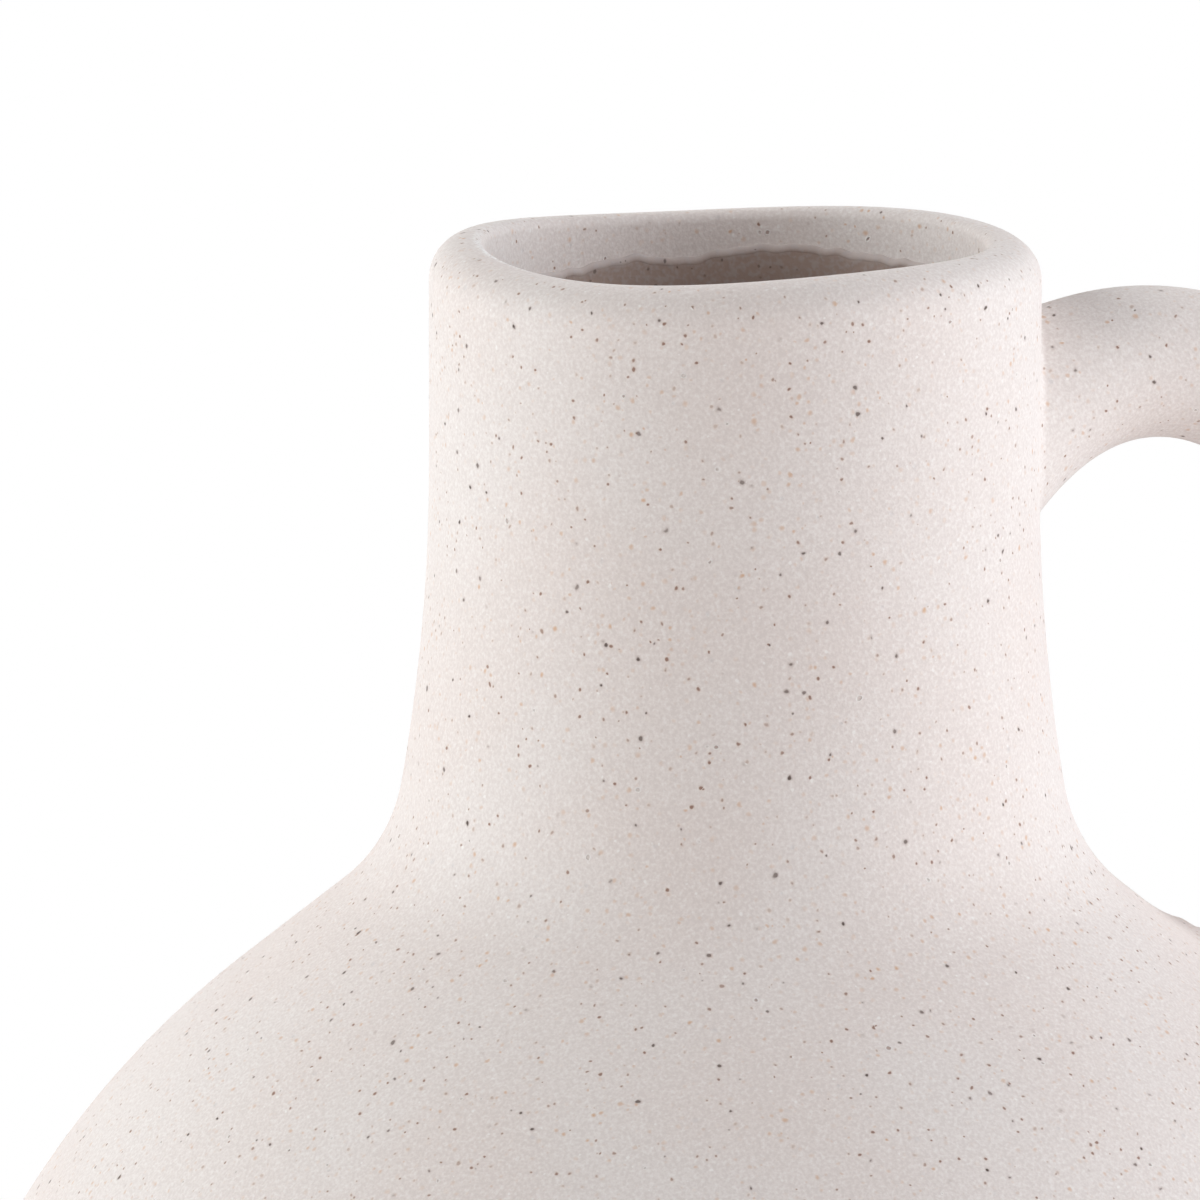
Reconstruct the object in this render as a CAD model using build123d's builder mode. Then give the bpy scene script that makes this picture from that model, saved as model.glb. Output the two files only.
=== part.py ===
from build123d import *
from math import asin, atan2, cos, degrees, radians, sin, sqrt, tan
import os

# A round-bellied stoneware jug with a wide neck and one ear handle, as a potter builds it: thrown sections
# with rebated rims luted one on another, a foot ring, a handle with necked ends, luting coils round its two
# roots, and a skin of glaze inside. The origin is the middle of the foot ring on the standing plane, +Z is up
# and the handle is on +X. Lengths are in millimetres and angles in degrees.

os.makedirs("parts", exist_ok=True)

# The whole vessel
total_height = 260.0
wall = 6.4
floor_thickness = 8.0
overrun = 2.0

# The turned outside, from the lip down: an upright neck, a slow flare, a hollow throat, a straight shoulder
# and the belly's upper round, each tangent to the last
neck_radius = 35.2
neck_straight = 25.7
flare_radius = 220.0
flare_turn = 9.8
throat_radius = 21.6
shoulder_slope = 51.2
shoulder_run = 16.0
belly_round = 107.9

# The base
base_radius = 52.0
base_rounding = 4.0
floor_corner = 16.0
foot_height = 4.0
foot_radius = 47.0
foot_width = 6.0
foot_rounding = 1.4
foot_seat = 1.2

# The joints between the sections: a tongue on the inner half of the lower rim stands in a rebate of the upper
lip_depth = 8.0
tongue_height = 3.0
slip = 0.15

# The lip, rounded over and not quite level: a tilt, a two-lobed sway and a three-lobed ripple, with the
# bearing of each one's high side counted from the handle
lip_rounding = 4.0
lip_tilt = 0.63
lip_tilt_bearing = 30.2
lip_sway = 0.44
lip_sway_bearing = -28.6
lip_ripple = 0.48
lip_ripple_bearing = 33.9
lip_stations = 24

# The handle's line, in the XZ plane: out of the neck and rising, over a crest, and down to the shoulder
handle_drop = 20.3
handle_rise = 34.0
root_arc = 25.7
crest_arc = 30.0
landing_radius = 68.3
landing_lean = 12.2

# The handle's body and the swelling at its two roots, most of it on the inner side: under the upper root, and
# as a long toe up the shoulder from the lower one
handle_thickness = 17.5
root_bury = 6.0
upper_swell_length = 25.0
upper_swell_power = 2.4
upper_swell_height = 1.7
upper_swell_width = 2.0
upper_swell_shift = 1.7
lower_swell_length = 20.0
lower_swell_power = 6.8
lower_swell_height = 4.3
lower_swell_width = 3.2
lower_swell_shift = 1.5

# The necked ends of the handle and the luting coils round them; the lower coil reaches a margin above its toe
neck_end_radius = 5.6
upper_coil_length = 11.0
lower_coil_margin = 2.35
root_clearance = 2 * handle_thickness

# The glaze inside
glaze = 0.35
glaze_depth = 6.5

# Sizes that follow from the ones above
flare_drop = flare_radius * sin(radians(flare_turn))
throat_drop = throat_radius * (sin(radians(shoulder_slope)) - sin(radians(flare_turn)))
shoulder_drop = shoulder_run * cos(radians(shoulder_slope))
belly_drop = belly_round * sin(radians(shoulder_slope))
throat_top = total_height - neck_straight - flare_drop
belly_height = throat_top - throat_drop - shoulder_drop - belly_drop
flare_reach = flare_radius * (1 - cos(radians(flare_turn)))
throat_reach = throat_radius * (cos(radians(flare_turn)) - cos(radians(shoulder_slope)))
shoulder_reach = shoulder_run * sin(radians(shoulder_slope))
belly_reach = belly_round * (1 - cos(radians(shoulder_slope)))
belly_radius = neck_radius + flare_reach + throat_reach + shoulder_reach + belly_reach
base_turn = 2 * atan2(belly_radius - base_radius, belly_height - foot_height)
lower_round = (belly_height - foot_height) / sin(base_turn)
floor_height = foot_height + floor_thickness
throat_joint = throat_top - throat_drop / 2
lip_joint = total_height - lip_depth
tongue_depth = wall / 2
crest_radius = neck_radius - lip_rounding
ring_seat_top = foot_height + foot_seat


def turned_section(depth, floor_level, corner):
    """Half the upright section of the form that lies `depth` inside the jug's turned outside."""
    low_round = lower_round - depth
    low_turn = degrees(asin((belly_height - floor_level - corner) / (low_round - corner)))
    radius = neck_radius - depth
    with BuildSketch(Plane.XZ) as section:
        with BuildLine():
            neck = Line((radius, total_height), (radius, total_height - neck_straight))
            flare = JernArc(neck @ 1, neck % 1, flare_radius + depth, flare_turn)
            throat = JernArc(flare @ 1, flare % 1, throat_radius + depth, shoulder_slope - flare_turn)
            shoulder = Line(throat @ 1, throat @ 1 + throat % 1 * shoulder_run)
            belly = JernArc(shoulder @ 1, shoulder % 1, belly_round - depth, -shoulder_slope)
            lower = JernArc(belly @ 1, belly % 1, low_round, -low_turn)
            turn_in = JernArc(lower @ 1, lower % 1, corner, low_turn - 90)
            Polyline(turn_in @ 1, (0, floor_level), (0, total_height), neck @ 0)
        make_face()
    return section


def band_between(outer, inner, bottom, top):
    """The half section of what lies between an outer and an inner form and between two heights."""
    with BuildSketch(Plane.XZ) as band:
        add(outer.sketch_local)
        add(inner.sketch_local, mode=Mode.SUBTRACT)
        with Locations((0, bottom)):
            Rectangle(2 * belly_radius, top - bottom, align=(Align.CENTER, Align.MIN), mode=Mode.INTERSECT)
    return band.sketch


def outer_form(depth):
    """Half the upright section of the form that lies `depth` inside the jug's outside all round."""
    return turned_section(depth, foot_height + depth, base_rounding - depth)


def inner_form(skin):
    """Half the upright section of the space inside the clay, or inside a skin of that thickness on it."""
    return turned_section(wall + skin, floor_height + skin, floor_corner - skin)


def tongue(joint):
    """The half section of the tongue that stands on the inner half of a rim."""
    return band_between(outer_form(tongue_depth + slip), inner_form(0), joint, joint + tongue_height)


def rebate(joint):
    """The half section of the outer lap that comes down round a tongue."""
    return band_between(outer_form(0), outer_form(tongue_depth), joint, joint + tongue_height + slip)


# The whole outside as one form, which cuts the saddles of the handle's roots
with BuildPart() as outside:
    add(outer_form(0).sketch)
    revolve(axis=Axis.Z)

# The lower bowl: floor and wall up to the belly's widest line, with the turned seat of the foot ring
with BuildPart() as lower_bowl:
    add(band_between(outer_form(0), inner_form(0), 0, belly_height))
    add(tongue(belly_height))
    revolve(axis=Axis.Z)
    with BuildSketch(Plane.XY.offset(foot_height)):
        Circle(foot_radius + slip)
        Circle(foot_radius - foot_width - slip, mode=Mode.SUBTRACT)
    extrude(amount=foot_seat, mode=Mode.SUBTRACT)
lower_bowl.part.label = "lower_bowl"

# The shoulder dome: from the belly's widest line to the middle of the throat
with BuildPart() as shoulder_dome:
    add(rebate(belly_height))
    add(band_between(outer_form(0), inner_form(0), belly_height + tongue_height + slip, throat_joint))
    add(tongue(throat_joint))
    revolve(axis=Axis.Z)
shoulder_dome.part.label = "shoulder_dome"

# The neck collar: the upper half of the throat, the flare and the upright neck
with BuildPart() as neck_collar:
    add(rebate(throat_joint))
    add(band_between(outer_form(0), inner_form(0), throat_joint + tongue_height + slip, lip_joint))
    add(tongue(lip_joint))
    revolve(axis=Axis.Z)
neck_collar.part.label = "neck_collar"

# The foot ring, its top in the seat under the bowl
with BuildPart() as foot_ring:
    with BuildSketch(Plane.XZ) as foot_section:
        with Locations((foot_radius, 0)):
            Rectangle(foot_width, ring_seat_top, align=(Align.MAX, Align.MIN))
        fillet(foot_section.vertices().group_by(Axis.Y)[0], foot_rounding)
    revolve(axis=Axis.Z)
foot_ring.part.label = "foot_ring"


def lip_lift(bearing):
    """How far the lip's crest stands above or below its mean height at a bearing from the handle."""
    tilt = lip_tilt * cos(radians(bearing - lip_tilt_bearing))
    sway = lip_sway * cos(radians(2 * (bearing - lip_sway_bearing)))
    ripple = lip_ripple * cos(radians(3 * (bearing - lip_ripple_bearing)))
    return tilt + sway + ripple


def crest_points(rise):
    """Points round the lip's crest, raised by `rise`."""
    points = []
    for station in range(lip_stations):
        bearing = 360 * station / lip_stations
        x = crest_radius * cos(radians(bearing))
        y = crest_radius * sin(radians(bearing))
        points.append((x, y, total_height + lip_lift(bearing) + rise))
    return points


# The rolled lip: its rounded section follows the wavy crest, and its foot is cut level with the rebate
with BuildLine() as crest_line:
    Spline(*crest_points(0), periodic=True)
with BuildLine() as upright_guide:
    Spline(*crest_points(lip_depth), periodic=True)
with BuildPart() as rolled_lip:
    with BuildSketch(Plane.XZ):
        with BuildLine():
            start_height = total_height + lip_lift(0)
            low = lip_joint - overrun
            outer_side = Line((neck_radius, low), (neck_radius, start_height - lip_rounding))
            outer_round = JernArc(outer_side @ 1, outer_side % 1, lip_rounding, 90)
            inner_round = JernArc(outer_round @ 1, outer_round % 1, wall - lip_rounding, 90)
            Polyline(inner_round @ 1, (neck_radius - wall, low), outer_side @ 0)
        make_face()
    sweep(path=crest_line.wire(), binormal=upright_guide.wire())
    split(bisect_by=Plane.XY.offset(lip_joint), keep=Keep.TOP)
    with BuildSketch(Plane.XY.offset(lip_joint)):
        Circle(neck_radius - tongue_depth)
    extrude(amount=tongue_height + slip, mode=Mode.SUBTRACT)
rolled_lip.part.label = "rolled_lip"

# Where the handle lands on the shoulder, and the length of the coil there, which covers the toe's rise
landing_height = belly_height + sqrt(belly_round**2 - (landing_radius - belly_radius + belly_round) ** 2)
landing_slope = degrees(asin((landing_height - belly_height) / belly_round))
toe_reach = handle_thickness / 2 + lower_swell_height + lower_swell_shift
lower_coil_length = toe_reach * tan(radians(90 - landing_slope - landing_lean)) + lower_coil_margin

# The handle's centre line, from the neck's wall to the shoulder's wall
with BuildLine(Plane.XZ) as ear_line:
    root_direction = (cos(radians(handle_rise)), sin(radians(handle_rise)))
    root_rise = JernArc((neck_radius, total_height - handle_drop), root_direction, root_arc, -handle_rise)
    crest = JernArc(root_rise @ 1, root_rise % 1, crest_arc, -90)
    descent = Spline(
        crest @ 1,
        (landing_radius, landing_height),
        tangents=[crest % 1, (-sin(radians(landing_lean)), -cos(radians(landing_lean)))],
    )
ear_wire = ear_line.wire()
ear_length = ear_wire.length


def ear_frame(distance):
    """The centre line's point and direction at a distance from the neck's wall, straight on past both ends."""
    inside = min(max(distance, 0), ear_length)
    point = ear_wire.position_at(inside, position_mode=PositionMode.LENGTH)
    direction = ear_wire.tangent_at(inside, position_mode=PositionMode.LENGTH)
    return point + direction * (distance - inside), direction


def swelling(share, power, swell_length):
    """How far a root has swollen: a power of the share of its length towards the wall, and past the wall on
    at the same slope, which levels out at the buried end."""
    past = max(share - 1, 0) * swell_length
    return min(share, 1) ** power + power * past / swell_length * (1 - past / (2 * root_bury))


def ear_section(distance):
    """One ellipse across the handle, which swells, and turns to lie along the wall, near both roots."""
    point, direction = ear_frame(distance)
    from_neck = max(1 - distance / upper_swell_length, 0)
    from_shoulder = max(1 - (ear_length - distance) / lower_swell_length, 0)
    upper = swelling(from_neck, upper_swell_power, upper_swell_length)
    lower = swelling(from_shoulder, lower_swell_power, lower_swell_length)
    height = handle_thickness / 2 + upper_swell_height * upper + lower_swell_height * lower
    width = handle_thickness / 2 + upper_swell_width * upper + lower_swell_width * lower
    shift = upper_swell_shift * upper + lower_swell_shift * lower
    bearing = degrees(atan2(direction.Z, direction.X))
    neck_turn = (0 - bearing) * min(from_neck, 1)
    shoulder_turn = (landing_slope - 180 - bearing) * min(from_shoulder, 1)
    across = radians(bearing + neck_turn + shoulder_turn)
    normal = Vector(cos(across), 0, sin(across))
    inward = Vector(sin(across), 0, -cos(across))
    stretch = 1 / cos(radians(neck_turn + shoulder_turn))
    plane = Plane(point + inward * shift, x_dir=(0, 1, 0), z_dir=normal)
    with BuildSketch(plane) as section:
        Ellipse(width, height * stretch)
    return section.sketch


def ear_stations():
    """Distances of the handle's sections: close together at the roots, where the first and last lie buried."""
    upper_shares = (0, 0.1, 0.22, 0.4, 0.65, 1)
    middle_shares = (0.25, 0.5, 0.75)
    lower_shares = (1, 0.75, 0.55, 0.4, 0.28, 0.18, 0.08, 0)
    bury_shares = (0.33, 0.67, 1)
    middle_length = ear_length - upper_swell_length - lower_swell_length
    stations = [-share * root_bury for share in reversed(bury_shares)]
    stations += [share * upper_swell_length for share in upper_shares]
    stations += [upper_swell_length + share * middle_length for share in middle_shares]
    stations += [ear_length - share * lower_swell_length for share in lower_shares]
    return stations + [ear_length + share * root_bury for share in bury_shares]


def ear_plane(distance):
    """The plane square to the handle's centre line at a distance from the neck's wall."""
    point, direction = ear_frame(distance)
    return Plane(point, x_dir=(0, 1, 0), z_dir=direction)


# The whole ear, with its swollen roots saddle-cut to the neck and the shoulder
with BuildPart() as ear:
    loft([ear_section(distance) for distance in ear_stations()])
    add(outside.part, mode=Mode.SUBTRACT)

upper_cut = ear_plane(upper_coil_length)
lower_cut = ear_plane(ear_length - lower_coil_length)

# The handle: the ear without its two roots, with a necked end in place of each, saddle-cut to the wall
with BuildPart() as handle:
    add(ear.part)
    with BuildSketch(upper_cut):
        Circle(root_clearance)
    extrude(amount=-root_clearance, mode=Mode.SUBTRACT)
    with BuildSketch(lower_cut):
        Circle(root_clearance)
    extrude(amount=root_clearance, mode=Mode.SUBTRACT)
    with BuildSketch(upper_cut):
        Circle(neck_end_radius)
    extrude(amount=-upper_coil_length - root_bury)
    with BuildSketch(lower_cut):
        Circle(neck_end_radius)
    extrude(amount=lower_coil_length + root_bury)
    add(outside.part, mode=Mode.SUBTRACT)
handle.part.label = "handle"

# The luting coil on the neck, worked flush with the handle round its necked end
with BuildPart() as upper_luting_coil:
    add(ear.part)
    with BuildSketch(upper_cut):
        Circle(root_clearance)
        Circle(neck_end_radius + slip, mode=Mode.SUBTRACT)
    extrude(amount=-root_clearance, mode=Mode.INTERSECT)
upper_luting_coil.part.label = "upper_luting_coil"

# The luting coil on the shoulder, with its long toe towards the neck
with BuildPart() as lower_luting_coil:
    add(ear.part)
    with BuildSketch(lower_cut):
        Circle(root_clearance)
        Circle(neck_end_radius + slip, mode=Mode.SUBTRACT)
    extrude(amount=root_clearance, mode=Mode.INTERSECT)
lower_luting_coil.part.label = "lower_luting_coil"

# The glaze that lines the inside, from the floor to just under the lip
with BuildPart() as liner_glaze:
    add(band_between(inner_form(0), inner_form(glaze), floor_height, total_height - glaze_depth))
    revolve(axis=Axis.Z)
liner_glaze.part.label = "liner_glaze"

for piece in (
    foot_ring,
    lower_bowl,
    shoulder_dome,
    neck_collar,
    rolled_lip,
    handle,
    upper_luting_coil,
    lower_luting_coil,
    liner_glaze,
):
    export_step(piece.part, f"parts/{piece.part.label}.step")
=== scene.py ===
import math

import bpy
import numpy as np
from bpy.props import FloatProperty, FloatVectorProperty, IntProperty, PointerProperty
from mathutils import Matrix, Vector


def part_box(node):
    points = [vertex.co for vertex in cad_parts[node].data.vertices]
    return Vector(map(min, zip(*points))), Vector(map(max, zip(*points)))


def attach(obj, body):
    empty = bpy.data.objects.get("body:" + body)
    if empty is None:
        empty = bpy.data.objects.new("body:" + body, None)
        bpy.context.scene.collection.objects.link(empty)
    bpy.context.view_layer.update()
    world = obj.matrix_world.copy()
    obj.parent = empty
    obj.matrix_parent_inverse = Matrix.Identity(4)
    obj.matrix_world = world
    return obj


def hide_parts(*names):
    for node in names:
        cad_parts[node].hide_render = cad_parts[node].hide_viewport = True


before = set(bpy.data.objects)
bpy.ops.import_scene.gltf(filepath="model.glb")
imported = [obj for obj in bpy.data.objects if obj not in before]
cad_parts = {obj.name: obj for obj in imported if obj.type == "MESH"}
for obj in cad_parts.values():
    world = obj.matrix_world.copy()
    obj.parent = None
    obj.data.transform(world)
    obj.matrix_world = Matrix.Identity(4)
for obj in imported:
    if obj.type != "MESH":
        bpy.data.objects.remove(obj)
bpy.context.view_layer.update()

bl_info = {
    "name": "Speckled stoneware jug",
    "version": (1, 0, 0),
    "blender": (4, 5, 0),
    "location": "3D View > Sidebar > Jug",
    "description": "Builds the looks of a round-bellied speckled stoneware jug over its packed frame",
    "category": "Add Mesh",
}

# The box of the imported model, and the heights of its joints, which the looks keep to
lip_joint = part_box("rolled_lip")[0].z
throat_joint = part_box("neck_collar")[0].z
belly_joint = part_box("shoulder_dome")[0].z
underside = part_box("lower_bowl")[0].z
ring_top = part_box("foot_ring")[1].z
ring_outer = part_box("foot_ring")[1].x
mm = 0.001

# How far apart the rings of points lie along each surface, how near the axis they end, and how far outside
# the foot ring the bowl's smooth outside ends
outside_spacing, inside_spacing, bowl_spacing, liner_spacing = 1.6 * mm, 2.0 * mm, 2.2 * mm, 2.4 * mm
lip_spacing, foot_spacing, line_spacing = 0.25 * mm, 0.3 * mm, 0.25 * mm
near_axis, ring_clear = 4 * mm, 2 * mm

# Share of the lip's height over which its wave grows to its full height
wave_growth = 0.6

# The painted highlight along the lip's inner edge: its place as a share of the inner rounding, its strength,
# and the power that ends it
highlight_share, highlight_strength, highlight_power = 0.65, 1.3, 5

# How far the edge of the worked clay goes on past its reach, and how deep it lies in the wall there
tuck_reach, tuck = 0.4 * mm, 0.05 * mm


def length(name, description, value):
    """A length a user may change."""
    return FloatProperty(name=name, description=description, default=value, unit="LENGTH", precision=5)


def angle(name, description, degrees):
    """An angle a user may change."""
    return FloatProperty(name=name, description=description, default=math.radians(degrees), subtype="ANGLE")


def number(name, description, value):
    """A plain number a user may change."""
    return FloatProperty(name=name, description=description, default=value)


def colour(name, description, value):
    """A colour a user may change."""
    return FloatVectorProperty(
        name=name, description=description, default=value, subtype="COLOR", size=3, min=0.0, max=1.0
    )


class JugForm(bpy.types.PropertyGroup):
    """Sizes of the turned jug, the same as the solids'."""

    height: length("Height", "Mean height of the lip over the table", lip_joint + 0.008)
    wall: length("Wall", "Thickness of the clay wall", 0.0064)
    floor: length("Floor", "Thickness of the clay floor", 0.008)
    neck: length("Neck radius", "Radius of the upright neck", 0.0352)
    neck_straight: length("Upright neck", "Length of the upright stretch under the lip", 0.0257)
    flare_radius: length("Flare radius", "Radius of the slow flare down the neck", 0.220)
    flare_turn: angle("Flare turn", "Angle that the flare turns through", 9.8)
    throat_radius: length("Throat radius", "Radius of the hollow between neck and shoulder", 0.0216)
    shoulder_slope: angle("Shoulder slope", "Angle of the shoulder from the upright", 51.2)
    shoulder_run: length("Shoulder run", "Length of the straight shoulder", 0.016)
    belly_round: length("Belly round", "Radius of the belly above its widest line", 0.1079)
    base: length("Base radius", "Radius of the base above the foot ring", 0.052)
    base_round: length("Base rounding", "Radius of the base's edge", 0.004)
    floor_corner: length("Floor corner", "Radius of the inside corner at the floor", 0.016)
    lip_outer: length("Outer lip round", "Radius of the lip's outer edge", 0.0046)
    lip_inner: length("Inner lip round", "Radius of the lip's inner edge", 0.0013)
    lip_tilt: length("Lip tilt", "Height of the lip's one-sided tilt", 0.00061)
    lip_sway: length("Lip sway", "Height of the lip's two-lobed wave", 0.00043)
    lip_ripple: length("Lip ripple", "Height of the lip's three-lobed wave", 0.00046)
    # Bearing and width of the painted highlight along the lip's inner edge
    highlight_side: angle("Worn side", "Bearing of the lip's worn inner edge", 187.0)
    highlight_width: length("Worn width", "Width of the lip's worn inner edge", 0.0006)
    foot_width: length("Foot ring width", "Width of the foot ring", 0.006)
    foot_round: length("Foot ring rounding", "Radius of the foot ring's lower edges", 0.0014)
    tongue: length("Tongue height", "Height of the tongue in each joint", 0.003)
    slip: length("Slip", "Space left for slip in each joint", 0.00015)
    glaze: length("Glaze", "Thickness of the glaze inside", 0.00035)
    glaze_bead: length("Glaze bead", "Thickness of the rolled edge of the glaze", 0.00038)
    round_steps: IntProperty(name="Steps round", description="Facets round the jug", default=288, min=24)


class JugEar(bpy.types.PropertyGroup):
    """Sizes of the ear handle, the same as the solids'."""

    drop: length("Root depth", "Depth of the upper root under the lip", 0.0203)
    rise: angle("Rise", "Angle at which the handle leaves the neck", 34.0)
    root_arc: length("Root arc", "Radius of the line's first arc", 0.0257)
    crest_arc: length("Crest arc", "Radius of the line over the crest", 0.030)
    landing: length("Landing radius", "How far out the handle lands on the shoulder", 0.0683)
    lean: angle("Landing lean", "Lean of the handle where it lands", 12.2)
    thickness: length("Thickness", "Thickness of the handle", 0.0175)
    upper_coil: length("Upper coil length", "Length of the luting coil on the neck", 0.011)
    lower_coil: length("Lower coil length", "Length of the luting coil on the shoulder", 0.012)
    upper_blend: length("Upper blend", "Reach of the worked clay into the neck", 0.0016)
    lower_blend: length("Lower blend", "Reach of the worked clay into the shoulder", 0.0030)
    toe: length("Toe", "Further reach of the worked clay towards the neck", 0.0040)
    necked: length("Necked end radius", "Radius of the handle's necked ends", 0.0056)
    round_steps: IntProperty(name="Steps round", description="Facets round the handle", default=96, min=12)


class JugFinish(bpy.types.PropertyGroup):
    """Colours and grain of the clay and of the glaze inside."""

    clay: colour("Clay", "Colour of the fired clay", (0.755, 0.69, 0.665))
    warm: colour("Warm clay", "Colour of the clay's warmer patches", (0.745, 0.665, 0.635))
    # Pale grit colour, which also paints the highlight on the pits' rims
    pale: colour("Pale grit", "Colour of the pale sand grains", (0.86, 0.82, 0.80))
    # Colour of the painted highlight along the lip's inner edge
    lip_highlight: colour("Worn edge", "Colour of the lip's worn inner edge", (0.93, 0.91, 0.90))
    shade: colour("Dark grit", "Colour of the hollows between the sand grains", (0.60, 0.52, 0.495))
    ash: colour("Ash specks", "Colour of the faint grey specks", (0.50, 0.48, 0.50))
    iron: colour("Iron specks", "Colour of the large dark specks", (0.085, 0.055, 0.045))
    rust: colour("Rust specks", "Colour of the brown specks", (0.27, 0.15, 0.11))
    bleed: colour("Bleed", "Colour that bleeds round the brown specks", (0.64, 0.42, 0.29))
    bare: colour("Bare clay", "Colour of the wiped clay on the foot ring", (0.58, 0.49, 0.43))
    # Colour of the glaze inside: its own dark brown, made darker still as painted shade for the dim inside
    # of the neck
    liner: colour("Liner", "Colour of the glaze inside", (0.37, 0.275, 0.235))
    large_spacing: length("Large speck spacing", "Distance between the large specks and pits", 0.0026)
    fine_spacing: length("Fine speck spacing", "Distance between the fine specks", 0.00102)
    grain: length("Grain", "Size of the sandy grain", 0.00042)
    grain_depth: length("Grain depth", "Height of the sandy grain", 0.00005)
    roughness: number("Roughness", "Roughness of the matt clay", 0.72)
    sheen: number("Sheen", "Pale bloom of the dry clay at a glancing look", 0.07)


class JugStudio(bpy.types.PropertyGroup):
    """Light and camera."""

    left_power: number("Left lamp", "Power of the left lamp, in watts", 9.15)
    right_power: number("Right lamp", "Power of the right lamp, in watts", 8.0)
    front_power: number("Front lamp", "Power of the front lamp, in watts", 3.1)
    back_power: number("Back lamp", "Power of the lamp behind and above, in watts", 2.8)
    left_tint: colour("Left tint", "Colour of the left lamp's light", (0.965, 1.0, 1.0))
    right_tint: colour("Right tint", "Colour of the right lamp's light", (0.91, 0.96, 1.0))
    front_tint: colour("Front tint", "Colour of the front lamp's light", (1.0, 0.97, 0.96))
    back_tint: colour("Back tint", "Colour of the back lamp's light", (1.0, 0.97, 0.96))
    sky: number("Sky", "Brightness of the soft light from all round", 0.08)
    camera_distance: length("Camera distance", "Distance from the point the camera looks at", 1.1)
    camera_turn: angle("Camera turn", "Bearing of the camera, 0 looking along +Y", -18.0)
    camera_pitch: angle("Camera pitch", "How far the camera looks down", 9.70)
    camera_roll: angle("Camera roll", "How far the camera is rolled", 0.138)
    aim_height: length("Aim height", "Height that the camera looks at", 0.2182)
    aim_left: length("Aim left", "How far left of the jug's axis the camera looks", 0.01545)
    lens: number("Lens", "Focal length in millimetres for a 36 mm frame", 285.5)


# The glaze's edge inside the neck as it was poured: bearings from the handle in degrees, and the depth of
# the edge under the lip there in millimetres; then its fine ripples: height, lobes and start
edge_bearings = (-2, 33, 57, 66, 75, 84, 90, 95, 114, 160, 205, 250, 300)
edge_depths = (5.2, 4.7, 3.9, 4.1, 4.7, 5.9, 5.5, 4.8, 6.3, 5.6, 4.6, 5.8, 4.9)
edge_ripples = ((0.10 * mm, 37, 0.0), (0.09 * mm, 59, 1.0))

# Points round the mouth over which the poured edge is smoothed, how far under the lip's joint its skin
# starts to follow it, and how many times as tall as thick its rolled bead is
edge_window, edge_start, bead_height = 15, 6 * mm, 2.5


def runs_along(points):
    """How far along a row of points each one lies."""
    steps = np.linalg.norm(np.diff(points, axis=0), axis=1)
    return np.concatenate([[0], np.cumsum(steps)])


def crossing(runs, values):
    """Where a row of values first rises past zero."""
    index = int(np.flatnonzero((values[:-1] <= 0) & (values[1:] > 0))[0])
    share = -values[index] / (values[index + 1] - values[index])
    return runs[index] + share * (runs[index + 1] - runs[index])


class TurnedLine:
    """The half section of a turned form, followed from one end to the other. A heading of 0 goes straight
    down and half a turn straight up, and the clay lies on the axis's side of a line that goes down."""

    def __init__(self, radius, height, heading):
        self.radii, self.heights, self.headings = [radius], [height], [heading]

    def go(self, headings, outward, down):
        """Goes on through points with headings, so far outward and down from where the line ends."""
        radius, height = self.radii[-1], self.heights[-1]
        self.headings.extend(headings)
        self.radii.extend(radius + outward)
        self.heights.extend(height - down)
        return self

    def straight(self, run):
        """Goes straight on."""
        steps, heading = max(2, int(run / line_spacing)), self.headings[-1]
        along = run * np.arange(1, steps + 1) / steps
        return self.go(heading + 0 * along, along * math.sin(heading), along * math.cos(heading))

    def arc(self, bend, turn):
        """Goes round an arc of radius `bend`, outwards where the turn is positive."""
        steps, first = max(12, int(bend * abs(turn) / line_spacing)), self.headings[-1]
        headings = first + turn * np.arange(1, steps + 1) / steps
        bend = math.copysign(bend, turn)
        outward = bend * (math.cos(first) - np.cos(headings))
        return self.go(headings, outward, bend * (np.sin(headings) - math.sin(first)))

    def finish(self):
        """Closes the line and measures it."""
        self.radii, self.heights = np.array(self.radii), np.array(self.heights)
        self.headings = np.array(self.headings)
        self.runs = runs_along(np.column_stack([self.radii, self.heights]))
        return self

    def run_at(self, height):
        """How far along the line it first comes down past a height."""
        return crossing(self.runs, height - self.heights)

    def at(self, runs):
        """Radius, height and heading at distances along the line."""
        return [np.interp(runs, self.runs, values) for values in (self.radii, self.heights, self.headings)]


def body_line(form, line, depth, floor_level, corner):
    """Goes on from the upright neck down to the axis, at a depth under the jug's outside."""
    line.arc(form.flare_radius + depth, form.flare_turn)
    line.arc(form.throat_radius + depth, form.shoulder_slope - form.flare_turn)
    line.straight(form.shoulder_run)
    line.arc(form.belly_round - depth, -form.shoulder_slope)
    widest = line.radii[-1] + depth
    slope = 2 * math.atan2(widest - form.base, belly_joint - underside)
    lower = (belly_joint - underside) / math.sin(slope) - depth
    turn = math.asin((belly_joint - floor_level - corner) / (lower - corner))
    line.arc(lower, -turn)
    line.arc(corner, turn - math.pi / 2)
    line.straight(line.radii[-1])
    return line.finish()


def outside_line(form):
    """The clay's outside, from inside the lip, over it and down."""
    start = lip_joint - form.tongue
    line = TurnedLine(form.neck - form.wall, start, math.pi)
    line.straight(form.height - form.lip_inner - start)
    line.arc(form.lip_inner, -math.pi / 2)
    line.straight(form.wall - form.lip_inner - form.lip_outer)
    line.arc(form.lip_outer, -math.pi / 2)
    line.straight(form.neck_straight - form.lip_outer)
    return body_line(form, line, 0.0, underside, form.base_round)


def under_line(form, depth, floor_level, corner):
    """A line that lies a depth under the clay's outside, from the lip's height down."""
    line = TurnedLine(form.neck - depth, form.height, 0.0)
    line.straight(form.neck_straight)
    return body_line(form, line, depth, floor_level, corner)


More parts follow.
